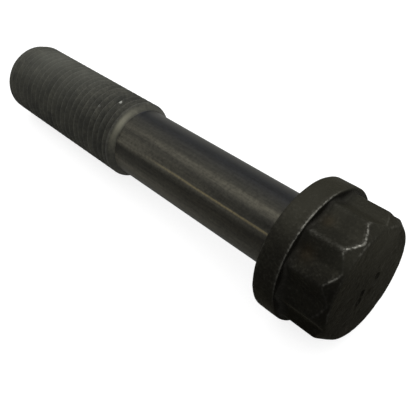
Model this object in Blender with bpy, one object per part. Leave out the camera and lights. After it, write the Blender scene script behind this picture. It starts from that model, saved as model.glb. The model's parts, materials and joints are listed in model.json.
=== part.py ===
"""Connecting rod bolt with a round flange, a twelve-point head and a fine right-hand thread.

The bolt is one piece of steel. It is modelled along +X, from the tip of its thread to the end of its
head, and is then tipped and set down on its side, with the plane z = 0 as the surface that it lies on.
"""
import math

import bmesh
import bpy
from mathutils import Matrix, Vector

MM = 0.001

# Thread: ISO metric fine, M12 x 1.25
THREAD_DIAMETER = 12.0 * MM
THREAD_PITCH = 1.25 * MM
THREAD_LENGTH = 28.2 * MM
THREAD_DEPTH_PER_PITCH = 0.6134
CREST_PER_PITCH = 0.125
FLANK_ANGLE = math.radians(30.0)
RUN_OUT_LENGTH = 1.6 * MM
TIP_CHAMFER_LENGTH = 1.2 * MM
TIP_BELOW_ROOT = 0.01 * MM

# Shoulder and plain shank
SHANK_DIAMETER = 10.3 * MM
SHOULDER_LAND_LENGTH = 0.8 * MM
SHOULDER_CONE_LENGTH = 1.5 * MM
SHOULDER_EDGE_RADIUS = 0.7 * MM
SHOULDER_FOOT_RADIUS = 0.4 * MM
BEARING_FROM_TIP = 61.7 * MM
UNDER_HEAD_FILLET = 0.8 * MM

# Flange
FLANGE_DIAMETER = 18.4 * MM
FLANGE_THICKNESS = 3.3 * MM
FLANGE_EDGE_RADIUS = 0.3 * MM

# Twelve-point head
HEAD_ACROSS_FLATS = 15.0 * MM
HEAD_HEIGHT = 6.3 * MM
POINT_TRIM = 0.1 * MM
FOOT_FILLET = 0.3 * MM
FACE_BELOW_FLATS = 0.02 * MM
FACE_CHAMFER_ANGLE = math.radians(52.5)
FACE_EDGE_RADIUS = 0.5 * MM
HEAD_TURN = math.radians(-1.1)

# Facets
FACETS_AROUND = 40
SHOULDER_STEPS = 3
FILLET_STEPS = 4
EDGE_STEPS = 3
LEAST_THREAD_FACET = 0.025 * MM
LEAST_FILLET = 0.05 * MM
FOOT_SINK = 0.02 * MM
TILT_ROUNDS = 20
SHARP_ANGLE = math.radians(25.0)

THREAD_RADIUS = THREAD_DIAMETER / 2
ROOT_RADIUS = THREAD_RADIUS - THREAD_DEPTH_PER_PITCH * THREAD_PITCH
TIP_RADIUS = ROOT_RADIUS - TIP_BELOW_ROOT
SHANK_RADIUS = SHANK_DIAMETER / 2
FLANGE_RADIUS = FLANGE_DIAMETER / 2
HEAD_FROM_TIP = BEARING_FROM_TIP + FLANGE_THICKNESS
END_FROM_TIP = HEAD_FROM_TIP + HEAD_HEIGHT
HEXAGON_CORNER_RADIUS = HEAD_ACROSS_FLATS / 2 / math.cos(math.radians(30.0))
POINT_RADIUS = HEXAGON_CORNER_RADIUS - POINT_TRIM
FACE_RADIUS = HEAD_ACROSS_FLATS / 2 - FACE_BELOW_FLATS


def clear_scene():
    """Removes every object of the file that the script runs in."""
    for obj in list(bpy.data.objects):
        bpy.data.objects.remove(obj, do_unlink=True)


def black_steel():
    """Dark oxide on steel: nearly black, half matt."""
    material = bpy.data.materials.new("black_oxide_steel")
    material.use_nodes = True
    shader = material.node_tree.nodes["Principled BSDF"]
    shader.inputs["Base Color"].default_value = (0.075, 0.074, 0.068, 1.0)
    shader.inputs["Metallic"].default_value = 0.85
    shader.inputs["Roughness"].default_value = 0.45
    return material


def point_around(x, radius, angle):
    """A point at a distance x along the bolt and an angle about it, counted from +Y towards +Z."""
    return Vector((x, radius * math.cos(angle), radius * math.sin(angle)))


def facet_angle(column):
    """The angle of a column of vertices, set so that a facet and not an edge faces straight down."""
    return math.radians(-90.0) + (column + 0.5) * 2 * math.pi / FACETS_AROUND


def arc(centre_x, centre_radius, radius, start_deg, end_deg, steps):
    """Points (x, radius) of a round stretch of a turned profile, angles counted from +X outwards."""
    points = []
    for step in range(steps + 1):
        angle = math.radians(start_deg + (end_deg - start_deg) * step / steps)
        points.append((centre_x + radius * math.cos(angle), centre_radius + radius * math.sin(angle)))
    return points


def shoulder_profile():
    """The plain land behind the thread and the cone down to the shank, with its two corners rounded."""
    cone_angle = math.atan2(THREAD_RADIUS - SHANK_RADIUS, SHOULDER_CONE_LENGTH)
    slope_deg = math.degrees(cone_angle)
    top = THREAD_LENGTH + SHOULDER_LAND_LENGTH
    foot = top + SHOULDER_CONE_LENGTH
    edge = SHOULDER_EDGE_RADIUS
    fillet = SHOULDER_FOOT_RADIUS
    edge_reach = edge * math.tan(cone_angle / 2)
    foot_reach = fillet * math.tan(cone_angle / 2)
    land = [(THREAD_LENGTH, THREAD_RADIUS)]
    upper = arc(top - edge_reach, THREAD_RADIUS - edge, edge, 90, 90 - slope_deg, SHOULDER_STEPS)
    lower = arc(foot + foot_reach, SHANK_RADIUS + fillet, fillet, -90 - slope_deg, -90, SHOULDER_STEPS)
    return land + upper + lower


def flange_profile():
    """The fillet under the head, the bearing face and the flange with its two rounded edges."""
    fillet = min(UNDER_HEAD_FILLET, (FLANGE_RADIUS - SHANK_RADIUS) / 2)
    edge = min(FLANGE_EDGE_RADIUS, FLANGE_THICKNESS / 3)
    inner = FLANGE_RADIUS - edge
    under_head = arc(BEARING_FROM_TIP - fillet, SHANK_RADIUS + fillet, fillet, -90, 0, FILLET_STEPS)
    back_edge = arc(BEARING_FROM_TIP + edge, inner, edge, 180, 90, EDGE_STEPS)
    front_edge = arc(HEAD_FROM_TIP - edge, inner, edge, 90, 0, EDGE_STEPS)
    return under_head + back_edge + front_edge


def thread_lines():
    """Offset along the pitch and depth (0 at the crest, 1 at the root) of the four lines of one turn."""
    flank = THREAD_DEPTH_PER_PITCH * THREAD_PITCH * math.tan(FLANK_ANGLE)
    crest = CREST_PER_PITCH * THREAD_PITCH
    root_start = crest + flank
    root_end = THREAD_PITCH - flank
    return [(0.0, 0.0), (crest, 0.0), (root_start, 1.0), (root_end, 1.0)]


def thread_radius(x, depth):
    """Radius of a thread line at x: cut by the tip's chamfer, and running out before the shoulder."""
    fade = min(1.0, (THREAD_LENGTH - x) / RUN_OUT_LENGTH)
    thread = THREAD_RADIUS - depth * fade * (THREAD_RADIUS - ROOT_RADIUS)
    chamfer = TIP_RADIUS + (THREAD_RADIUS - TIP_RADIUS) * x / TIP_CHAMFER_LENGTH
    return min(thread, chamfer)


def thread_column(bm, column, tip_ring, shoulder_ring):
    """One column of the thread: (line number, vertex) from the tip's ring to the shoulder's ring."""
    lines = thread_lines()
    turns = math.ceil(THREAD_LENGTH / THREAD_PITCH) + 1
    found = [(-math.inf, tip_ring[column])]
    for turn in range(-1, turns):
        for number, (offset, depth) in enumerate(lines):
            x = (turn + column / FACETS_AROUND) * THREAD_PITCH + offset
            if LEAST_THREAD_FACET < x < THREAD_LENGTH - LEAST_THREAD_FACET:
                point = point_around(x, thread_radius(x, depth), facet_angle(column))
                found.append((turn * len(lines) + number, bm.verts.new(point)))
    found.append((math.inf, shoulder_ring[column]))
    return found


def zip_columns(bm, left, right):
    """Skins two neighbouring columns: a quad between lines that both have, a triangle where one ends."""
    i = j = 0
    while i < len(left) - 1 or j < len(right) - 1:
        next_left = left[i + 1][0] if i < len(left) - 1 else math.inf
        next_right = right[j + 1][0] if j < len(right) - 1 else math.inf
        corners = [left[i][1], right[j][1]]
        if next_right <= next_left:
            j += 1
            corners.append(right[j][1])
        if next_left <= next_right:
            i += 1
            corners.append(left[i][1])
        bm.faces.new(corners)


def add_thread(bm, tip_ring, shoulder_ring):
    """The helical thread between two rings, column by column round the bolt."""
    columns = [thread_column(bm, k, tip_ring, shoulder_ring) for k in range(FACETS_AROUND)]
    one_turn = len(thread_lines())
    first_again = [(line - one_turn, vertex) for line, vertex in columns[0]]
    for left, right in zip(columns, columns[1:] + [first_again]):
        zip_columns(bm, left, right)


def add_ring(bm, x, radius):
    """A ring of vertices about the bolt's axis."""
    return [bm.verts.new(point_around(x, radius, facet_angle(k))) for k in range(FACETS_AROUND)]


def join_rings(bm, first, second):
    """The band of quads between two rings, the second further along the bolt."""
    for k in range(len(first)):
        after = (k + 1) % len(first)
        bm.faces.new((first[k], first[after], second[after], second[k]))


def mesh_object(name, bm):
    """An object from a bmesh, with its faces turned to point out."""
    bmesh.ops.recalc_face_normals(bm, faces=bm.faces)
    mesh = bpy.data.meshes.new(name)
    bm.to_mesh(mesh)
    bm.free()
    obj = bpy.data.objects.new(name, mesh)
    bpy.context.collection.objects.link(obj)
    return obj


def threaded_blank():
    """Thread, shoulder, shank and flange: everything that is turned or rolled about the axis."""
    bm = bmesh.new()
    tip_ring = add_ring(bm, 0.0, TIP_RADIUS)
    bm.faces.new(tip_ring)
    rings = [add_ring(bm, x, radius) for x, radius in shoulder_profile() + flange_profile()]
    add_thread(bm, tip_ring, rings[0])
    for first, second in zip(rings, rings[1:]):
        join_rings(bm, first, second)
    bm.faces.new(rings[-1])
    return mesh_object("connecting_rod_bolt", bm)


def foot_flare():
    """How far the head widens at its foot, as (x, added radius) from inside the flange to its front.

    The fillet ends on the flat front of the flange, before the flange's rounded edge.
    """
    room = FLANGE_RADIUS - FLANGE_EDGE_RADIUS - POINT_RADIUS
    fillet = max(LEAST_FILLET, min(FOOT_FILLET, room))
    flare = [(HEAD_FROM_TIP - FLANGE_THICKNESS / 2, 0.0), (HEAD_FROM_TIP - FOOT_SINK, fillet)]
    return flare + arc(HEAD_FROM_TIP + fillet, fillet, fillet, -180, -90, FILLET_STEPS)[1:]


def star_section(bm, x, spread):
    """One outline of two hexagons turned by 30 degrees, widened by a spread."""
    valley_radius = HEAD_ACROSS_FLATS / 2 / math.cos(math.radians(15.0))
    outline = []
    for corner in range(24):
        radius = HEXAGON_CORNER_RADIUS if corner % 2 == 0 else valley_radius
        angle = math.radians(90.0 + 15.0 * corner) + HEAD_TURN
        outline.append(bm.verts.new(point_around(x, radius + spread, angle)))
    return outline


def twelve_point_prism():
    """The head's star, drawn out from within the flange, with a fillet where it leaves the flange."""
    bm = bmesh.new()
    places = foot_flare() + [(END_FROM_TIP, 0.0)]
    sections = [star_section(bm, x, spread) for x, spread in places]
    bm.faces.new(sections[0])
    for first, second in zip(sections, sections[1:]):
        join_rings(bm, first, second)
    bm.faces.new(sections[-1])
    return mesh_object("head_star", bm)


def head_turning():
    """The turned outline that trims the head's points and chamfers its end, as a closed body."""
    slope = math.tan(FACE_CHAMFER_ANGLE)
    chamfer_start = END_FROM_TIP - (POINT_RADIUS - FACE_RADIUS) * slope
    turn_deg = 90.0 - math.degrees(FACE_CHAMFER_ANGLE)
    rounding = FACE_EDGE_RADIUS * math.tan(math.radians(90.0 - turn_deg) / 2)
    edge = arc(
        END_FROM_TIP - FACE_EDGE_RADIUS, FACE_RADIUS - rounding, FACE_EDGE_RADIUS, turn_deg, 0.0, EDGE_STEPS
    )
    bm = bmesh.new()
    back = [(HEAD_FROM_TIP - FLANGE_THICKNESS, POINT_RADIUS)]
    foot = [(x, POINT_RADIUS + spread) for x, spread in foot_flare()]
    profile = back + foot + [(chamfer_start, POINT_RADIUS)] + edge
    rings = [add_ring(bm, x, radius) for x, radius in profile]
    bm.faces.new(rings[0])
    for first, second in zip(rings, rings[1:]):
        join_rings(bm, first, second)
    bm.faces.new(rings[-1])
    return mesh_object("head_turning", bm)


def make_guide(obj):
    """Keeps a helper shape out of renders and shows it as wires."""
    obj.hide_render = True
    obj.display_type = "WIRE"


def add_boolean(obj, other, operation):
    """A Boolean modifier with the exact solver."""
    modifier = obj.modifiers.new(f"{operation.lower()}_{other.name}", "BOOLEAN")
    modifier.operation = operation
    modifier.object = other
    modifier.solver = "EXACT"


def evaluated_points(obj):
    """The vertices of an object with its modifiers, in its own frame."""
    evaluated = obj.evaluated_get(bpy.context.evaluated_depsgraph_get())
    return [vertex.co.copy() for vertex in evaluated.data.vertices]


def resting_tilt(points):
    """The angle by which the axis rises towards the head once head and thread both touch the surface."""
    middle = BEARING_FROM_TIP / 2
    tilt = 0.0
    for _ in range(TILT_ROUNDS):
        turn = Matrix.Rotation(-tilt, 3, "Y")
        turned = [(point.x > middle, turn @ point) for point in points]
        head = min((p for at_head, p in turned if at_head), key=lambda p: p.z)
        thread = min((p for at_head, p in turned if not at_head), key=lambda p: p.z)
        tilt -= math.atan2(head.z - thread.z, head.x - thread.x)
    return tilt


def lay_down(bolt, shapes):
    """Hangs the shapes on an empty that tips them to rest, the bottom centre of the bolt's box at zero."""
    points = evaluated_points(bolt)
    tilt = resting_tilt(points)
    turn = Matrix.Rotation(-tilt, 3, "Y")
    turned = [turn @ point for point in points]
    low = Vector([min(p[i] for p in turned) for i in range(3)])
    high = Vector([max(p[i] for p in turned) for i in range(3)])
    rest = bpy.data.objects.new("rest_on_side", None)
    bpy.context.collection.objects.link(rest)
    rest.rotation_euler = (0.0, -tilt, 0.0)
    rest.location = (-(low.x + high.x) / 2, -(low.y + high.y) / 2, -low.z)
    for shape in shapes:
        shape.parent = rest


def build_bolt():
    """The finished bolt: the threaded blank with its head joined on, lying on its side."""
    blank = threaded_blank()
    star = twelve_point_prism()
    turning = head_turning()
    make_guide(star)
    make_guide(turning)
    add_boolean(star, turning, "INTERSECT")
    add_boolean(blank, star, "UNION")
    blank.data.materials.append(black_steel())
    blank.data.shade_smooth()
    blank.data.set_sharp_from_angle(angle=SHARP_ANGLE)
    bpy.context.view_layer.update()
    lay_down(blank, [blank, star, turning])


clear_scene()
build_bolt()
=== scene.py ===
"""A blackened steel connecting rod bolt lying on a pale table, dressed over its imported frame."""
import json
import math

import bpy
from mathutils import Matrix, Vector, noise


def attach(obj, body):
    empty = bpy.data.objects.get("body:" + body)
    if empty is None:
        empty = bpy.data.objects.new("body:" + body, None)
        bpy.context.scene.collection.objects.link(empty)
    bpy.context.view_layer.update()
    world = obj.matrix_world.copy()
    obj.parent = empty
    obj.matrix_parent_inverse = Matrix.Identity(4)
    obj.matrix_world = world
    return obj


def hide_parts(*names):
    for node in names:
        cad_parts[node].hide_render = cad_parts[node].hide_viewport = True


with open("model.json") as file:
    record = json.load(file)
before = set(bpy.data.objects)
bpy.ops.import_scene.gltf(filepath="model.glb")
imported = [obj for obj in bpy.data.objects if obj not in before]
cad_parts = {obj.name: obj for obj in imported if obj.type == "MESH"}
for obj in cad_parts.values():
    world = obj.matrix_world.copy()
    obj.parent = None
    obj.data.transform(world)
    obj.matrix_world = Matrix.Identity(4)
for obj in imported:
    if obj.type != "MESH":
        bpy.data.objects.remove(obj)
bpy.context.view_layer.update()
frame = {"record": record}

# Connecting rod bolt: one piece of alloy steel, which clamps the cap of an engine's connecting rod.
# Its head and flange are hot forged, its shank is turned and ground, its thread is cold rolled, and
# the whole is phosphated or oxidised nearly black and oiled.
MM = 0.001

# Places along the axis in millimetres, from the tip of the thread
THREAD_END = 29.3
SHOULDER_TOP = 29.6
SHOULDER_FOOT = 30.75
BEARING_FACE = 61.7
FLANGE_FRONT = 65.0
HEAD_END = 71.3

# The solid under this skin has flat facets, and the round skin just touches them from inside
SOLID_FACETS = 40
INSIDE_FACETS = math.cos(math.pi / SOLID_FACETS)
THREAD_DIAMETER = 12.0
SHANK_DIAMETER = 10.3
FLANGE_DIAMETER = 18.4
thread_radius = THREAD_DIAMETER / 2 * INSIDE_FACETS
shank_radius = SHANK_DIAMETER / 2 * INSIDE_FACETS
flange_radius = FLANGE_DIAMETER / 2 * INSIDE_FACETS

# The skin is made of columns of points that run from the tip's face to the head's end face
COLUMNS = 240
HEAD_TURN = -1.1


def column_angle(column):
    """Angle of a column of points about the axis, with one column on each point of the head."""
    return math.radians(90.0 + HEAD_TURN) + column * 2 * math.pi / COLUMNS


# Twelve-point head: two hexagons turned by 30 degrees, with blunt points and slightly round valleys
ACROSS_FLATS = 15.0
POINT_TRIM = 0.10
POINT_ROUNDING = 0.08
VALLEY_ROUNDING = 0.12
point_radius = ACROSS_FLATS / 2 / math.cos(math.radians(30.0)) - POINT_TRIM


def soft_least(a, b, blend):
    """The smaller of two sizes, with the corner between them rounded over a length."""
    h = max(blend - abs(a - b), 0.0) / blend
    return min(a, b) - h * h * blend / 4


def star_radius(angle):
    """Distance from the axis to the side of the twelve-point head."""
    turn = (angle - math.radians(90.0 + HEAD_TURN)) % math.radians(60.0)
    first = ACROSS_FLATS / 2 / math.cos(turn - math.radians(30.0))
    second = ACROSS_FLATS / 2 / math.cos(min(turn, math.radians(60.0) - turn))
    outer = -soft_least(-first, -second, VALLEY_ROUNDING)
    return soft_least(outer, point_radius, POINT_ROUNDING)


# The largest share of a side of the outline that the rounding of one of its corners may take
ROUNDED_SHARE = 0.48


def rounded_profile(corners):
    """Points (x, radius, wear) along corners (x, radius, rounding, steps in it, steps after it, wear)."""
    found = [corners[0][:2] + (corners[0][5],)]
    for before, here, after in zip(corners, corners[1:], corners[2:]):
        come = Vector(here[:2]) - Vector(before[:2])
        leave = Vector(after[:2]) - Vector(here[:2])
        turn = come.angle_signed(leave)
        wanted = here[2] * math.tan(abs(turn) / 2)
        reach = min(wanted, come.length * ROUNDED_SHARE, leave.length * ROUNDED_SHARE)
        radius = reach / math.tan(abs(turn) / 2)
        come.normalize()
        side = Vector((come.y, -come.x)) if turn > 0 else Vector((-come.y, come.x))
        start = Vector(here[:2]) - come * reach
        last = Vector(found[-1][:2])
        for step in range(1, before[4]):
            point = last.lerp(start, step / before[4])
            found.append((point.x, point.y, 0.0))
        for step in range(here[3] + 1):
            bend = abs(turn) * step / here[3]
            point = start + (come * math.sin(bend) + side * (1 - math.cos(bend))) * radius
            middle = math.sin(math.pi * (step + 0.5) / (here[3] + 1))
            found.append((point.x, point.y, here[5] * middle * middle))
    last = Vector(found[-1][:2])
    end = corners[-1]
    for step in range(1, corners[-2][4] + 1):
        point = last.lerp(Vector(end[:2]), step / corners[-2][4])
        found.append((point.x, point.y, 0.0))
    return found


# End face of the head, the cone that chamfers its points, and the wear on the ridges beside its flats
FACE_DIAMETER = 14.96
CHAMFER_SLOPE = math.tan(math.radians(52.5))
END_FACE_ROWS = 56
HUB_RADIUS = 0.1
RIDGE_WEAR = 0.16
RIDGE_HALF_ANGLE = 2.6
RIDGES_FROM = FLANGE_FRONT + 0.5
face_radius = FACE_DIAMETER / 2


def blank_profile(angle):
    """The bolt's outline beyond its thread at one angle: shoulder, shank, flange, head and end face."""
    star = star_radius(angle)
    chamfer_start = HEAD_END - (star - face_radius) * CHAMFER_SLOPE
    off_ridge = abs((math.degrees(angle) - HEAD_TURN + 15.0) % 30.0 - 15.0)
    ridge_wear = RIDGE_WEAR * max(0.0, 1.0 - off_ridge / RIDGE_HALF_ANGLE)
    profile = rounded_profile([
        (THREAD_END, thread_radius, 0.0, 0, 1, 0.3),
        (SHOULDER_TOP, thread_radius, 0.35, 4, 3, 0.6),
        (SHOULDER_FOOT, shank_radius, 0.4, 4, 16, 0.0),
        (BEARING_FACE, shank_radius, 0.8, 6, 6, 0.0),
        (BEARING_FACE, flange_radius, 0.3, 4, 8, 0.5),
        (FLANGE_FRONT, flange_radius, 0.22, 4, 2, 1.0),
        (FLANGE_FRONT, star, 0.6, 6, 14, 0.0),
        (chamfer_start, star, 0.60, 4, 6, 0.85),
        (HEAD_END, face_radius, 0.5, 5, END_FACE_ROWS, 0.6),
        (HEAD_END, HUB_RADIUS, 0.0, 0, 0, 0.0),
    ])
    return [(x, radius, max(wear, ridge_wear) if RIDGES_FROM < x < chamfer_start else wear)
            for x, radius, wear in profile]


# Rolled thread, M12 x 1.25: a flat crest an eighth of the pitch wide, 60 degree flanks, a round root
PITCH = 1.25
THREAD_DEPTH = 0.767
HALF_CREST = PITCH / 16
CREST_CORNER_DEPTH = 0.045
FLANK_FOOT = 0.478
FLANK_FOOT_DEPTH = 0.685
RUN_OUT = 0.35
# Angle at which a crest begins at the tip, and how near to the thread's two ends its lines may come
THREAD_START = -90.0 + 180.0 / SOLID_FACETS
LEAST_STEP = 0.02

# Crust has partly filled the grooves over this length from the tip, where half of their depth is left
CRUSTED_LENGTH = 15.0
DEPTH_LEFT = 0.5

# Plain tip: a chamfer down to a flat face
TIP_DIAMETER = 10.45
TIP_CHAMFER = 1.2
TIP_RINGS = 6
TIP_EDGE_WEAR = 0.3
tip_radius = TIP_DIAMETER / 2 * INSIDE_FACETS

# Numbers that put the tip's lines before the thread's lines, and the blank's lines after them
FAR_ORDER = 1e6


def thread_lines():
    """Lines along one pitch from the crest's middle, as (place, depth, wear)."""
    side = [(HALF_CREST * 0.5, 0.0, 1.0), (HALF_CREST * 1.3, CREST_CORNER_DEPTH, 0.7),
            (FLANK_FOOT, FLANK_FOOT_DEPTH, 0.0)]
    other_side = [(PITCH - place, depth, wear) for place, depth, wear in reversed(side)]
    return side + [(PITCH / 2, THREAD_DEPTH, 0.0)] + other_side


def thread_column(angle):
    """The thread at one angle as (line number, x, radius, wear), from the tip to the shoulder."""
    lines = thread_lines()
    turned = ((angle - math.radians(THREAD_START)) % (2 * math.pi)) / (2 * math.pi)
    lead = turned * PITCH + HALF_CREST
    found = []
    for turn in range(-2, math.ceil(THREAD_END / PITCH) + 1):
        for number, (offset, depth, wear) in enumerate(lines):
            x = turn * PITCH + lead + offset
            if LEAST_STEP < x < THREAD_END - LEAST_STEP:
                fade = min(1.0, (THREAD_END - x) / RUN_OUT)
                chamfer = tip_radius + (thread_radius - tip_radius) * x / TIP_CHAMFER
                kept = DEPTH_LEFT + (1.0 - DEPTH_LEFT) * min(1.0, x / CRUSTED_LENGTH)
                radius = min(thread_radius - depth * fade * kept, chamfer)
                found.append((turn * len(lines) + number, x, radius, wear * fade * x / THREAD_END))
    return found


def column_of_points(column):
    """One column from the tip's face to the head's end face: (order, x, radius, wear)."""
    angle = column_angle(column)
    tip = []
    for ring in range(TIP_RINGS):
        wear = TIP_EDGE_WEAR if ring == TIP_RINGS - 1 else 0.0
        tip.append((ring - FAR_ORDER, 0.0, tip_radius * (ring + 1) / TIP_RINGS, wear))
    blank = [(FAR_ORDER + row, *point) for row, point in enumerate(blank_profile(angle))]
    return tip + thread_column(angle) + blank


def zip_columns(faces, left, right):
    """Skins two neighbouring columns: a quad between lines that both have, a triangle where one ends."""
    i = j = 0
    while i < len(left) - 1 or j < len(right) - 1:
        next_left = left[i + 1][0] if i < len(left) - 1 else math.inf
        next_right = right[j + 1][0] if j < len(right) - 1 else math.inf
        corners = [left[i][1], right[j][1]]
        if next_right <= next_left:
            j += 1
            corners.append(right[j][1])
        if next_left <= next_right:
            i += 1
            corners.append(left[i][1])
        faces.append(corners)


def on_bolt(x, degrees, radius):
    """A place on the bolt from its distance along, its angle about the axis and its radius."""
    angle = math.radians(degrees)
    return Vector((x, radius * math.cos(angle), radius * math.sin(angle)))


def angle_of(point):
    """Angle of a point about the axis in degrees: 0 at the back, 90 on top and 180 at the front."""
    return math.degrees(math.atan2(point.z, point.y)) % 360.0


def fading(away):
    """Strength of a mark at a distance from its middle, given as a share of its reach."""
    return math.exp(-away * away)


def marked(point, places):
    """How strongly a point belongs to places (distance along, angle, radius, reach, strength)."""
    total = 0.0
    for x, degrees, radius, reach, strength in places:
        total += strength * fading((point - on_bolt(x, degrees, radius)).length / reach)
    return total


# Relief of the forged head as (height, waves per millimetre, shift), and the pits in its end face
FORGED_RELIEF = (
    (0.05, 0.45, Vector((0.0, 0.0, 0.0))),
    (0.02, 1.6, Vector((7.0, 0.0, 0.0))),
)
PIT_DEPTH = 0.1
PITS_PER_MM = 1.1
PIT_THRESHOLD = 0.2
PIT_SHIFT = Vector((0.0, 3.0, 9.0))
# Place across the end face, radius and depth of each round punch mark
PUNCH_MARKS = (
    (1.8, 0.0, 0.55, 0.35),
    (-0.95, -0.75, 0.50, 0.30),
    (-1.45, -1.85, 0.55, 0.35),
)
# Knocks that have bared the thread's crests: only the first two are deep enough to be cut in
NICKED_CRESTS = (
    (26.90, 94.8, 5.9, 0.36, 0.7),
    (24.52, 117.8, 5.9, 0.30, 0.12),
    (17.6, 85.7, 5.9, 0.45, 0.10),
)
CUT_NICKS = NICKED_CRESTS[:2]
NICK_DEPTH = 0.08


def unevenness(point):
    """How far the surface lies below its ideal shape: forging scale, pits, punch marks and nicks."""
    depth = 0.0
    if point.x > BEARING_FACE - 0.5:
        for height, waves, shift in FORGED_RELIEF:
            depth += height * (noise.noise(point * waves + shift) * 0.5 + 0.5)
    if point.x > HEAD_END - 0.1:
        depth += PIT_DEPTH * max(0.0, noise.noise(point * PITS_PER_MM + PIT_SHIFT) - PIT_THRESHOLD)
        for y, z, radius, deepest in PUNCH_MARKS:
            away = math.hypot(point.y - y, point.z - z) / radius
            if away < 1.0:
                depth += deepest * (1.0 - away * away)
    return depth + NICK_DEPTH * min(1.0, marked(point, CUT_NICKS))


# How much less crust, and painted light that lifts their shade, the roots hold at the thread's end than at
# its tip
FILLING_LOST = 0.95


def groove_filling_and_light(point):
    """How much pale crust fills the thread's groove, its colour also painted light that lifts the groove's
    shade: none on the crests, most at the roots near the tip.
    """
    if not TIP_CHAMFER < point.x < THREAD_END:
        return 0.0
    depth = (thread_radius - math.hypot(point.y, point.z)) / THREAD_DEPTH
    return depth * (1.0 - FILLING_LOST * point.x / THREAD_END)


# Distance along and reach of the burnished ring, angle and reach of the painted highlight on its upper
# side, and the rest of it
BURNISHED_AND_HIGHLIT_RING = (30.15, 0.30)
PAINTED_HIGHLIGHT_SIDE = (124.0, 27.0)
BURNISHED_ALL_ROUND = 0.1


def burnished_and_highlit_collar(point):
    """How far the rod's hole has burnished the shoulder, with a painted highlight along its rim on the
    upper side.
    """
    ring = fading((point.x - BURNISHED_AND_HIGHLIT_RING[0]) / BURNISHED_AND_HIGHLIT_RING[1])
    side = fading((angle_of(point) - PAINTED_HIGHLIGHT_SIDE[0]) / PAINTED_HIGHLIGHT_SIDE[1])
    return (BURNISHED_ALL_ROUND + (1.0 - BURNISHED_ALL_ROUND) * side) * ring


# Angle, half width, and strength at the thread's and the head's end of each lengthwise band on the shank,
# where rubbing has thinned the oxide and a reflection is painted; a strength below zero paints shade
RUB_AND_REFLECTION_BANDS = (
    (136.0, 8.0, 0.00, -0.09),
    (163.0, 12.0, 0.05, -0.07),
    (180.0, 12.0, 0.30, 0.08),
    (101.0, 9.0, 0.10, 0.05),
    (118.0, 7.0, 0.30, 0.60),
    (137.0, 9.0, 0.45, 0.05),
    (147.0, 5.0, 0.45, 0.20),
    (192.0, 16.0, 1.10, 0.40),
    (235.0, 11.0, 0.30, 0.55),
    (268.0, 6.0, 0.60, 0.40),
    (300.0, 13.0, 0.35, 0.60),
    (331.0, 5.0, 0.60, 0.30),
    (352.0, 9.0, 0.30, 0.55),
    (20.0, 8.0, 0.50, 0.30),
)
THINNED_EVERYWHERE = 0.08


def thinned_oxide_and_reflections(point):
    """How far rubbing has thinned the shank's oxide, in bands along it that also hold painted reflection
    and shade.
    """
    degrees = angle_of(point)
    along = (point.x - SHOULDER_FOOT) / (BEARING_FACE - SHOULDER_FOOT)
    total = THINNED_EVERYWHERE
    for middle, half, start, end in RUB_AND_REFLECTION_BANDS:
        total += (start + (end - start) * along) * fading((degrees - middle) / half)
    return min(1.0, max(0.0, total))


# Angle and reach of the blue reflection painted along the shank
BLUE_REFLECTION_BAND = (82.0, 16.0)


def painted_blue_reflection(point):
    """How strongly a blue reflection is painted on the shank, along its upper back side."""
    return fading((angle_of(point) - BLUE_REFLECTION_BAND[0]) / BLUE_REFLECTION_BAND[1])


# Tan scratch: its angle and half width, where it starts and ends and over what length it grows
TAN_ANGLE = 145.0
TAN_HALF_WIDTH = 1.95
TAN_FROM = 37.0
TAN_TO = 60.5
TAN_GROWTH = 8.0
TAN_STRENGTH = 0.4
# Brown tinge on its lower side: angle, reach and strength
TINGE = (163.0, 10.0, 0.02)


def tan_line(point):
    """The thin tan scratch along the shank, which fades towards the thread, and the tinge below it."""
    degrees = angle_of(point)
    grown = min(1.0, max(0.0, (point.x - TAN_FROM) / TAN_GROWTH)) if point.x < TAN_TO else 0.0
    line = TAN_STRENGTH * max(0.0, 1.0 - abs(degrees - TAN_ANGLE) / TAN_HALF_WIDTH)
    return grown * (line + TINGE[2] * fading((degrees - TINGE[0]) / TINGE[1]))


# Reach of the crust at the head's foot, which is painted a little lighter to lift the corner's shade, and
# how far it stays off the flange's rim
FOOT_CRUST_AND_LIGHT_REACH = 1.2
FOOT_CRUST_AND_LIGHT_OFF_RIM = 0.25


def crust_and_light_at_foot(point):
    """How much grey crust lies in the corner between the flange and the head, painted a little lighter to
    lift the shade there.
    """
    on_rim = math.hypot(point.y, point.z) > flange_radius - FOOT_CRUST_AND_LIGHT_OFF_RIM
    if point.x < FLANGE_FRONT - 0.05 or on_rim:
        return 0.0
    return max(0.0, 1.0 - (point.x - FLANGE_FRONT) / FOOT_CRUST_AND_LIGHT_REACH)


# Edges that a socket or a bench has rubbed bright; those that the photograph doesn't show are guessed
RUBBED_BRIGHT = (
    (65.0, 96.0, 9.2, 2.0, 0.30),
    (65.0, 110.0, 9.2, 1.2, 0.16),
    (65.0, 121.0, 9.2, 2.0, 0.34),
    (65.0, 145.0, 9.2, 3.0, 0.12),
    (66.6, 118.9, 8.5, 1.5, 0.10),
    (68.2, 118.9, 8.5, 1.1, 0.14),
    (70.0, 113.0, 8.3, 0.8, 1.7),
    (70.4, 108.0, 8.1, 0.8, 0.7),
    (70.5, 99.0, 8.0, 0.8, 0.35),
    (70.2, 92.0, 8.4, 0.7, 0.35),
    (70.2, 141.0, 8.2, 0.8, 0.36),
    (71.3, 64.0, 7.4, 1.0, 0.15),
    (71.3, 175.0, 7.4, 1.2, 0.06),
    (65.0, 20.0, 9.2, 3.0, 0.30),
    (65.0, 300.0, 9.2, 3.5, 0.25),
    (70.0, 358.0, 8.4, 1.0, 1.0),
    (70.1, 325.0, 8.3, 1.0, 0.6),
    (70.0, 240.0, 8.4, 1.2, 0.8),
    (61.7, 10.0, 9.2, 3.0, 0.30),
    (61.7, 160.0, 9.2, 3.0, 0.12),
)
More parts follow.
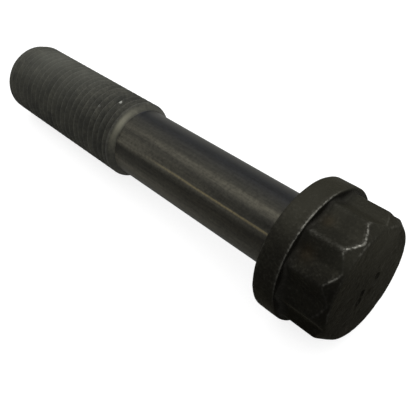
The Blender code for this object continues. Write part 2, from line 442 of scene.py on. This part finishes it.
# Powdery patches of phosphate on top of the thread
PALE_CRUST = (
    (7.0, 72.0, 6.0, 5.0, 0.8),
    (16.0, 70.0, 6.0, 5.0, 0.6),
)
# Rust in two corners at the foot of the head
RUST_SPOTS = (
    (66.1, 103.4, 8.1, 0.7, 1.0),
    (66.3, 134.0, 8.1, 0.9, 0.8),
)
# Painted shade: the lower front of the head is painted darker
PAINTED_SHADE_PLACES = (
    (71.3, 200.0, 4.0, 6.0, 0.9),
    (67.5, 205.0, 8.5, 4.0, 0.7),
)
# Painted light: places where the head and flange are painted greyer and lighter, mostly on their upper side
PAINTED_LIGHT_PLACES = (
    (63.3, 0.0, 9.1, 5.0, 0.5),
    (63.3, 300.0, 9.1, 5.0, 0.5),
    (63.3, 240.0, 9.1, 4.0, 0.4),
    (69.0, 350.0, 8.0, 3.5, 0.4),
    (71.2, 70.0, 5.5, 3.5, 1.0),
    (63.3, 62.0, 9.1, 4.5, 0.7),
    (63.3, 95.0, 9.1, 5.0, 0.7),
    (63.2, 118.0, 9.1, 3.0, 0.3),
    (69.5, 60.0, 8.0, 3.0, 0.2),
    (70.8, 112.0, 7.8, 2.2, 0.5),
    (70.9, 128.0, 7.6, 1.8, 0.4),
)
# The shank's finish starts just before the foot of the shoulder, the head's just before the flange
SHANK_FINISH_FROM = SHOULDER_FOOT - 0.15
HEAD_FINISH_FROM = BEARING_FACE - 0.05


def bolt_mesh(place):
    """The bolt's skin, put in its place, with its marks as values on the vertices."""
    points, wears, faces, columns = [], [], [], []
    for column in range(COLUMNS):
        angle = column_angle(column)
        ids = []
        for order, x, radius, wear in column_of_points(column):
            ids.append((order, len(points)))
            points.append(Vector((x, radius * math.cos(angle), radius * math.sin(angle))))
            wears.append(wear)
        columns.append(ids)
    per_turn = len(thread_lines())
    start_column = (THREAD_START - 90.0 - HEAD_TURN) % 360.0 / 360.0 * COLUMNS
    for k in range(COLUMNS):
        left, right = columns[k], columns[(k + 1) % COLUMNS]
        if k < start_column <= k + 1:
            right = [(order - per_turn if abs(order) < FAR_ORDER / 2 else order, vertex)
                     for order, vertex in right]
        zip_columns(faces, left, right)
    for end, x in ((0, 0.0), (-1, HEAD_END)):
        hub = len(points)
        points.append(Vector((x, 0.0, 0.0)))
        wears.append(0.0)
        for k in range(COLUMNS):
            here, after = columns[k][end][1], columns[(k + 1) % COLUMNS][end][1]
            faces.append((hub, after, here) if end == 0 else (hub, here, after))
    mesh = bpy.data.meshes.new("connecting_rod_bolt_skin")
    mesh.from_pydata(points, [], faces)
    mesh.update()
    normals = [Vector(vertex.normal) for vertex in mesh.vertices]
    for point, normal, vertex in zip(points, normals, mesh.vertices):
        vertex.co = place @ ((point - normal * unevenness(point)) * MM)
    mesh.update()
    # Several of these marks also hold painted light, shade and reflection, as their functions say.
    marks = {
        "edge": wears,
        "rubbed": [min(1.0, marked(point, RUBBED_BRIGHT)) for point in points],
        "pale": [min(1.0, marked(point, PALE_CRUST)) for point in points],
        "rusty": [min(1.0, marked(point, RUST_SPOTS)) for point in points],
        "burnished_and_highlit": [burnished_and_highlit_collar(point) for point in points],
        "groove_crust_and_light": [groove_filling_and_light(point) for point in points],
        "painted_shade": [min(1.0, marked(point, PAINTED_SHADE_PLACES)) for point in points],
        "painted_light": [min(1.0, marked(point, PAINTED_LIGHT_PLACES)) for point in points],
        "foot_crust_and_light": [crust_and_light_at_foot(point) for point in points],
        "blue_reflection": [painted_blue_reflection(point) for point in points],
        "thinned_and_reflecting": [thinned_oxide_and_reflections(point) for point in points],
        "tan": [tan_line(point) for point in points],
    }
    for name, values in marks.items():
        mesh.attributes.new(name, "FLOAT", "POINT").data.foreach_set("value", values)
    for polygon in mesh.polygons:
        x = sum(points[v].x for v in polygon.vertices) / len(polygon.vertices)
        polygon.material_index = 0 if x < SHANK_FINISH_FROM else 1 if x < HEAD_FINISH_FROM else 2
    return mesh


head_mount = next(mount for mount in frame["record"]["mounts"] if mount["name"] == "head_end")
axis = Vector(head_mount["axis"]).normalized()
rise = math.asin(axis.z)
tip_centre = Vector(head_mount["pos_m"]) - axis * HEAD_END * MM
bolt_place = Matrix.Translation(tip_centre) @ Matrix.Rotation(-rise, 4, "Y")

bolt = bpy.data.objects.new("blackened_bolt", bolt_mesh(bolt_place))
bpy.context.collection.objects.link(bolt)
bolt.data.shade_smooth()

# Thread finish: zinc phosphate is a matt crust of fine grey-green crystals that holds oil. It is pale
# and powdery by the tip, a little lighter where a nut has rubbed the crests, and the rod has burnished
# the shoulder. The crust in the grooves is painted a little lighter to lift their shade, most near the
# tip, and the shoulder's rim has a painted highlight on its upper side. The crystals are too fine to
# show, so they are drawn about half a millimetre wide.


def linear_colour(code):
    """An sRGB hex colour as the linear colour that shaders take."""
    parts = [int(code[i:i + 2], 16) / 255 for i in (0, 2, 4)]
    return [p / 12.92 if p <= 0.04045 else ((p + 0.055) / 1.055) ** 2.4 for p in parts] + [1.0]


def add_node(tree, kind, inputs, **settings):
    """Adds a node with its settings; each input is either a value or the socket it is linked from.

    By number, a Mix of colours has its factor at 0 and its colours at 6 and 7, and gives output 2. A
    MapRange takes its values from between 1 and 2 to between 3 and 4.
    """
    made = tree.nodes.new("ShaderNode" + kind)
    for name, value in settings.items():
        setattr(made, name, value)
    for name, value in inputs.items():
        if isinstance(value, bpy.types.NodeSocket):
            tree.links.new(value, made.inputs[name])
        else:
            made.inputs[name].default_value = value
    return made


def start_material(name, place):
    """A material with its shader and the place on the bolt in millimetres, from the tip along the axis."""
    material = bpy.data.materials.new(name)
    material.use_nodes = True
    tree = material.node_tree
    coordinates = add_node(tree, "TexCoord", {})
    along = add_node(tree, "Mapping", {
        "Vector": coordinates.outputs["Object"], "Location": place.to_translation(),
        "Rotation": place.to_euler(), "Scale": (MM, MM, MM)}, vector_type="TEXTURE")
    return material, tree, tree.nodes["Principled BSDF"], along.outputs["Vector"]


# Waves per millimetre of each pattern, its height in millimetres, and shares of each blend
PATCHES_PER_MM = 0.45
CRYSTALS_PER_MM = 2.2
CRYSTAL_HEIGHT = 0.03
CREST_RUB = 0.09
BURNISHED_SMOOTHER = 0.25
PHOSPHATE_DARK = linear_colour("22221d")
PHOSPHATE_LIGHT = linear_colour("444339")
PHOSPHATE_POWDER = linear_colour("55564e")
# Groove crust colour, which also paints light that lifts the grooves' shade
PHOSPHATE_AND_LIGHT_IN_GROOVE = linear_colour("42423a")
RUBBED_CREST = linear_colour("6a6b62")
# Burnished steel colour, which also paints a highlight on the shoulder's upper side
BURNISHED_AND_HIGHLIT_STEEL = linear_colour("767464")
NICKED_STEEL = linear_colour("b9bab2")

thread_steel, tree, shader, along = start_material("phosphated_rolled_thread", bolt_place)
patches = add_node(tree, "TexNoise", {"Vector": along, "Scale": PATCHES_PER_MM, "Detail": 3.0})
crystals = add_node(tree, "TexNoise", {
    "Vector": along, "Scale": CRYSTALS_PER_MM, "Detail": 3.0, "Roughness": 0.65})
mottle = add_node(tree, "Math", {0: patches.outputs[0], 1: crystals.outputs[0]}, operation="MULTIPLY")
spread = add_node(tree, "MapRange", {"Value": mottle.outputs[0], 1: 0.12, 2: 0.42})
crust = add_node(tree, "Mix", {
    0: spread.outputs[0], 6: PHOSPHATE_DARK, 7: PHOSPHATE_LIGHT}, data_type="RGBA")
pale = add_node(tree, "Attribute", {}, attribute_name="pale")
powdered = add_node(tree, "Mix", {
    0: pale.outputs["Fac"], 6: crust.outputs[2], 7: PHOSPHATE_POWDER}, data_type="RGBA")
edge = add_node(tree, "Attribute", {}, attribute_name="edge")
crest = add_node(tree, "Math", {0: edge.outputs["Fac"], 1: CREST_RUB}, operation="MULTIPLY")
rubbed_crest = add_node(tree, "Mix", {
    0: crest.outputs[0], 6: powdered.outputs[2], 7: RUBBED_CREST}, data_type="RGBA")
# Crust in the grooves, painted a little lighter to lift their shade
groove_crust_and_light = add_node(tree, "Attribute", {}, attribute_name="groove_crust_and_light")
residue_and_light = add_node(tree, "Mix", {
    0: groove_crust_and_light.outputs["Fac"], 6: rubbed_crest.outputs[2], 7: PHOSPHATE_AND_LIGHT_IN_GROOVE}, data_type="RGBA")
# Burnish on the shoulder, with a painted highlight on its upper side
burnished_and_highlit = add_node(tree, "Attribute", {}, attribute_name="burnished_and_highlit")
collar_and_highlight = add_node(tree, "Mix", {
    0: burnished_and_highlit.outputs["Fac"], 6: residue_and_light.outputs[2], 7: BURNISHED_AND_HIGHLIT_STEEL}, data_type="RGBA")
surface = collar_and_highlight.outputs[2]
for x, degrees, radius, reach, strength in NICKED_CRESTS:
    away = add_node(tree, "VectorMath", {0: along, 1: on_bolt(x, degrees, radius)}, operation="DISTANCE")
    nick = add_node(tree, "MapRange", {
        "Value": away.outputs["Value"], 1: reach, 2: reach * 0.6, 3: 0.0, 4: strength})
    bared = add_node(tree, "Mix", {
        0: nick.outputs[0], 6: surface, 7: NICKED_STEEL}, data_type="RGBA")
    surface = bared.outputs[2]
tree.links.new(surface, shader.inputs["Base Color"])
shader.inputs["Metallic"].default_value = 0.4
roughness = add_node(tree, "MapRange", {"Value": mottle.outputs[0], 1: 0.1, 2: 0.45, 3: 0.7, 4: 0.55})
smoother = add_node(tree, "Math", {
    0: burnished_and_highlit.outputs["Fac"], 1: -BURNISHED_SMOOTHER, 2: roughness.outputs[0]},
    operation="MULTIPLY_ADD")
tree.links.new(smoother.outputs[0], shader.inputs["Roughness"])
grain = add_node(tree, "Bump", {
    "Strength": 0.35, "Distance": CRYSTAL_HEIGHT * MM, "Height": crystals.outputs[0]})
tree.links.new(grain.outputs[0], shader.inputs["Normal"])
bolt.data.materials.append(thread_steel)

# Shank finish: black oxide over ground steel, smooth under oil, with lengthwise rub marks from the rod's
# hole, which show tan where the oxide is thin. A blue band at the back is painted reflection, and the
# lighter and darker bands along the rub marks are painted reflection and shade as well. Real rub marks
# are too fine to show, so the streaks are drawn about 0.4 mm wide and 6 mm long.
STREAKS_PER_MM = 2.6
STREAK_STRETCH = 0.06
SPECKLES_PER_MM = 2.4
STREAK_HEIGHT = 0.02
OXIDE_DARK = linear_colour("201f1d")
OXIDE_LIGHT = linear_colour("2c2c28")
# Painted reflection: the blue of the band along the upper back
PAINTED_BLUE_REFLECTION = linear_colour("26282e")
# Colour of thinned oxide, which also paints the reflection bands along the shank
OXIDE_THIN_AND_REFLECTING = linear_colour("5d5a4f")
OXIDE_TAN = linear_colour("a8986c")

shank_steel, tree, shader, along = start_material("oiled_black_oxide_shank", bolt_place)
lengthwise = add_node(tree, "Mapping", {"Vector": along, "Scale": (STREAK_STRETCH, 1.0, 1.0)})
streaks = add_node(tree, "TexNoise", {
    "Vector": lengthwise.outputs[0], "Scale": STREAKS_PER_MM, "Detail": 5.0, "Roughness": 0.6})
speckle = add_node(tree, "TexNoise", {
    "Vector": along, "Scale": SPECKLES_PER_MM, "Detail": 3.0, "Roughness": 0.7})
both = add_node(tree, "Math", {0: streaks.outputs[0], 1: speckle.outputs[0]}, operation="MULTIPLY")
spread = add_node(tree, "MapRange", {"Value": both.outputs[0], 1: 0.12, 2: 0.42})
oxide = add_node(tree, "Mix", {0: spread.outputs[0], 6: OXIDE_DARK, 7: OXIDE_LIGHT}, data_type="RGBA")
uneven = add_node(tree, "MapRange", {"Value": both.outputs[0], 1: 0.14, 2: 0.38, 3: 0.45, 4: 1.2})
# Painted reflection: a blue band along the shank's upper back
blue_reflection = add_node(tree, "Attribute", {}, attribute_name="blue_reflection")
blue_part = add_node(tree, "Math", {0: blue_reflection.outputs["Fac"], 1: uneven.outputs[0]}, operation="MULTIPLY")
blue_reflected = add_node(tree, "Mix", {
    0: blue_part.outputs[0], 6: oxide.outputs[2], 7: PAINTED_BLUE_REFLECTION}, data_type="RGBA")
# Bands of thinned oxide along the shank, which also hold painted reflection and shade
thinned_and_reflecting = add_node(tree, "Attribute", {}, attribute_name="thinned_and_reflecting")
patchy = add_node(tree, "Math", {0: thinned_and_reflecting.outputs["Fac"], 1: uneven.outputs[0]}, operation="MULTIPLY")
rubbed_and_reflecting = add_node(tree, "Mix", {
    0: patchy.outputs[0], 6: blue_reflected.outputs[2], 7: OXIDE_THIN_AND_REFLECTING}, data_type="RGBA")
tan = add_node(tree, "Attribute", {}, attribute_name="tan")
broken = add_node(tree, "Math", {0: tan.outputs["Fac"], 1: uneven.outputs[0]}, operation="MULTIPLY")
scratched = add_node(tree, "Mix", {
    0: broken.outputs[0], 6: rubbed_and_reflecting.outputs[2], 7: OXIDE_TAN}, data_type="RGBA")
tree.links.new(scratched.outputs[2], shader.inputs["Base Color"])
shader.inputs["Metallic"].default_value = 0.9
shader.inputs["Specular Tint"].default_value = linear_colour("e0e0dc")
roughness = add_node(tree, "MapRange", {"Value": both.outputs[0], 1: 0.12, 2: 0.42, 3: 0.31, 4: 0.40})
tree.links.new(roughness.outputs[0], shader.inputs["Roughness"])
scratches = add_node(tree, "Bump", {
    "Strength": 0.2, "Distance": STREAK_HEIGHT * MM, "Height": both.outputs[0]})
tree.links.new(scratches.outputs[0], shader.inputs["Normal"])
bolt.data.materials.append(shank_steel)

# Head and flange finish: the same phosphate over forging scale, half matt and the blackest part, with
# bright steel where a socket has rubbed the edges, a painted lighter upper side, a painted darker lower
# front, grey crust at the head's foot painted a little lighter to lift its shade, and a breath of rust in
# two corners. The scale's grain shows as specks a third of a mm wide.
SCALE_PATCHES_PER_MM = 0.4
SCALE_GRAINS_PER_MM = 3.0
SCALE_HEIGHT = 0.1
RUST_SHARE = 0.2
EDGE_SHARE = 0.010
SPECK_SHARE = 0.01
SCALE_DARK = linear_colour("141310")
SCALE_LIGHT = linear_colour("22211b")
# Painted light: the greyer colour of the head's upper side
SCALE_PAINTED_LIGHT = linear_colour("33322b")
# Crust colour at the head's foot, a little lighter than the scale to lift the corner's shade
SCALE_CRUST_AND_LIGHT = linear_colour("1d1c18")
# Painted shade: the darker colour of the head's lower front
SCALE_PAINTED_SHADE = linear_colour("0b0a07")
RUST = linear_colour("4a3a22")
BARE_STEEL = linear_colour("c9c7bd")

head_steel, tree, shader, along = start_material("phosphated_forged_head", bolt_place)
patches = add_node(tree, "TexNoise", {"Vector": along, "Scale": SCALE_PATCHES_PER_MM, "Detail": 4.0})
scale_grain = add_node(tree, "TexNoise", {"Vector": along, "Scale": SCALE_GRAINS_PER_MM, "Detail": 3.0})
mottle = add_node(tree, "Math", {0: patches.outputs[0], 1: scale_grain.outputs[0]}, operation="MULTIPLY")
spread = add_node(tree, "MapRange", {"Value": mottle.outputs[0], 1: 0.12, 2: 0.42})
scale = add_node(tree, "Mix", {0: spread.outputs[0], 6: SCALE_DARK, 7: SCALE_LIGHT}, data_type="RGBA")
# Painted light: the upper side of the head and flange is painted greyer
painted_light = add_node(tree, "Attribute", {}, attribute_name="painted_light")
lit_by_paint = add_node(tree, "Mix", {
    0: painted_light.outputs["Fac"], 6: scale.outputs[2], 7: SCALE_PAINTED_LIGHT}, data_type="RGBA")
# Crust at the head's foot, painted a little lighter to lift the shade in the corner
foot_crust_and_light = add_node(tree, "Attribute", {}, attribute_name="foot_crust_and_light")
crusted_and_lit = add_node(tree, "Mix", {
    0: foot_crust_and_light.outputs["Fac"], 6: lit_by_paint.outputs[2], 7: SCALE_CRUST_AND_LIGHT}, data_type="RGBA")
# Painted shade: the lower front of the head is painted darker
painted_shade = add_node(tree, "Attribute", {}, attribute_name="painted_shade")
shaded_by_paint = add_node(tree, "Mix", {
    0: painted_shade.outputs["Fac"], 6: crusted_and_lit.outputs[2], 7: SCALE_PAINTED_SHADE}, data_type="RGBA")
rusty = add_node(tree, "Attribute", {}, attribute_name="rusty")
rust_part = add_node(tree, "Math", {0: rusty.outputs["Fac"], 1: RUST_SHARE}, operation="MULTIPLY")
stained = add_node(tree, "Mix", {
    0: rust_part.outputs[0], 6: shaded_by_paint.outputs[2], 7: RUST}, data_type="RGBA")
edge = add_node(tree, "Attribute", {}, attribute_name="edge")
rubbed = add_node(tree, "Attribute", {}, attribute_name="rubbed")
bright = add_node(tree, "Math", {0: edge.outputs["Fac"], 1: rubbed.outputs["Fac"]}, operation="MULTIPLY")
broken = add_node(tree, "MapRange", {"Value": scale_grain.outputs[0], 1: 0.38, 2: 0.62, 3: 0.1, 4: 1.0})
bare = add_node(tree, "Math", {0: bright.outputs[0], 1: broken.outputs[0]}, operation="MULTIPLY")
faint = add_node(tree, "Math", {
    0: edge.outputs["Fac"], 1: EDGE_SHARE, 2: bare.outputs[0]}, operation="MULTIPLY_ADD")
specks = add_node(tree, "MapRange", {
    "Value": scale_grain.outputs[0], 1: 0.56, 2: 0.72, 3: 0.0, 4: SPECK_SHARE})
shown = add_node(tree, "Math", {0: faint.outputs[0], 1: specks.outputs[0]})
worn = add_node(tree, "Mix", {
    0: shown.outputs[0], 6: stained.outputs[2], 7: BARE_STEEL}, data_type="RGBA")
tree.links.new(worn.outputs[2], shader.inputs["Base Color"])
metal_share = add_node(tree, "MapRange", {"Value": foot_crust_and_light.outputs["Fac"], 3: 0.9, 4: 0.7})
tree.links.new(metal_share.outputs[0], shader.inputs["Metallic"])
shader.inputs["Specular Tint"].default_value = linear_colour("c6c4bc")
roughness = add_node(tree, "MapRange", {"Value": mottle.outputs[0], 1: 0.1, 2: 0.45, 3: 0.6, 4: 0.45})
tree.links.new(roughness.outputs[0], shader.inputs["Roughness"])
grain = add_node(tree, "Bump", {
    "Strength": 0.6, "Distance": SCALE_HEIGHT * MM, "Height": scale_grain.outputs[0]})
tree.links.new(grain.outputs[0], shader.inputs["Normal"])
bolt.data.materials.append(head_steel)

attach(bolt, "root")
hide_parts("connecting_rod_bolt")

# Table: a plain matt sheet of card under the bolt, big enough to fill the view. It glows white to the
# camera and a little in the steel, and its own pale grey takes the bolt's shadow.
TABLE_HALF = 1.5
GLOW_TO_CAMERA = 0.8
GLOW_IN_STEEL = 0.1
table_mesh = bpy.data.meshes.new("table")
table_mesh.from_pydata(
    [(-TABLE_HALF, -TABLE_HALF, 0.0), (TABLE_HALF, -TABLE_HALF, 0.0), (TABLE_HALF, TABLE_HALF, 0.0),
     (-TABLE_HALF, TABLE_HALF, 0.0)], [], [(0, 1, 2, 3)])
table = bpy.data.objects.new("table", table_mesh)
bpy.context.collection.objects.link(table)
white_card = bpy.data.materials.new("white_card")
white_card.use_nodes = True
tree = white_card.node_tree
shader = tree.nodes["Principled BSDF"]
shader.inputs["Base Color"].default_value = linear_colour("a4a4a4")
shader.inputs["Roughness"].default_value = 0.9
rays = add_node(tree, "LightPath", {})
mirrored = add_node(tree, "Math", {
    0: rays.outputs["Is Glossy Ray"], 1: GLOW_IN_STEEL}, operation="MULTIPLY")
glow = add_node(tree, "Math", {
    0: rays.outputs["Is Camera Ray"], 1: GLOW_TO_CAMERA, 2: mirrored.outputs[0]},
    operation="MULTIPLY_ADD")
shader.inputs["Emission Color"].default_value = (1.0, 1.0, 1.0, 1.0)
tree.links.new(glow.outputs[0], shader.inputs["Emission Strength"])
table.data.materials.append(white_card)

# Studio light: a dim even room, which is white to the camera, and soft boxes all round the bolt, the
# biggest of them overhead.
ROOM_LIGHT = 0.38
LAMP_DISTANCE = 0.4
world = bpy.data.worlds.new("studio")
bpy.context.scene.world = world
world.use_nodes = True
world.node_tree.nodes["Background"].inputs["Color"].default_value = (1.0, 1.0, 1.0, 1.0)
tree = world.node_tree
rays = add_node(tree, "LightPath", {})
room = add_node(tree, "MapRange", {"Value": rays.outputs["Is Camera Ray"], 3: ROOM_LIGHT, 4: 1.0})
tree.links.new(room.outputs[0], tree.nodes["Background"].inputs["Strength"])


def soft_box(name, azimuth, elevation, width, height, brightness):
    """A rectangular soft box that faces the bolt; its brightness is that of a white card in plain light."""
    lamp = bpy.data.lights.new(name, "AREA")
    lamp.shape = "RECTANGLE"
    lamp.size = width
    lamp.size_y = height
    lamp.energy = brightness * math.pi * width * height
    box = bpy.data.objects.new(name, lamp)
    bpy.context.collection.objects.link(box)
    turn, lift = math.radians(azimuth), math.radians(elevation)
    toward = Vector((math.cos(turn) * math.cos(lift), math.sin(turn) * math.cos(lift), math.sin(lift)))
    box.location = toward * LAMP_DISTANCE
    box.rotation_euler = (-toward).to_track_quat("-Z", "Y").to_euler()


soft_box("overhead_box", 180.0, 80.0, 0.66, 0.50, 0.92)
soft_box("tip_box", 190.0, 38.0, 0.46, 0.24, 0.8)
soft_box("back_box", 130.0, 36.0, 0.22, 0.20, 0.2)
soft_box("back_strip", 118.0, 8.0, 0.60, 0.12, 0.52)
soft_box("left_strip", 236.0, 15.0, 0.28, 0.12, 0.9)
soft_box("rear_box", 70.0, 42.0, 0.36, 0.30, 1.1)
soft_box("right_box", 20.0, 30.0, 0.44, 0.26, 0.58)
soft_box("end_box", 12.0, 6.0, 0.36, 0.12, 0.8)
soft_box("front_box", 330.0, 58.0, 0.20, 0.20, 1.2)

# Camera: a short lens close to the bolt, looking down on it past its head.
CAMERA_PLACE = Vector((53.31, -42.28, 61.50)) * MM
CAMERA_HEADING = 46.15
CAMERA_ELEVATION = 43.47
CAMERA_LENS = 50.51
camera = bpy.data.objects.new("camera", bpy.data.cameras.new("camera"))
bpy.context.collection.objects.link(camera)
camera.location = CAMERA_PLACE
camera.rotation_euler = (math.radians(90.0 - CAMERA_ELEVATION), 0.0, math.radians(CAMERA_HEADING))
camera.data.lens = CAMERA_LENS
camera.data.sensor_width = 36.0
camera.data.clip_start = 0.005
camera.data.clip_end = 10.0
bpy.context.scene.camera = camera

bpy.context.scene.view_settings.view_transform = "Standard"

bpy.context.view_layer.update()
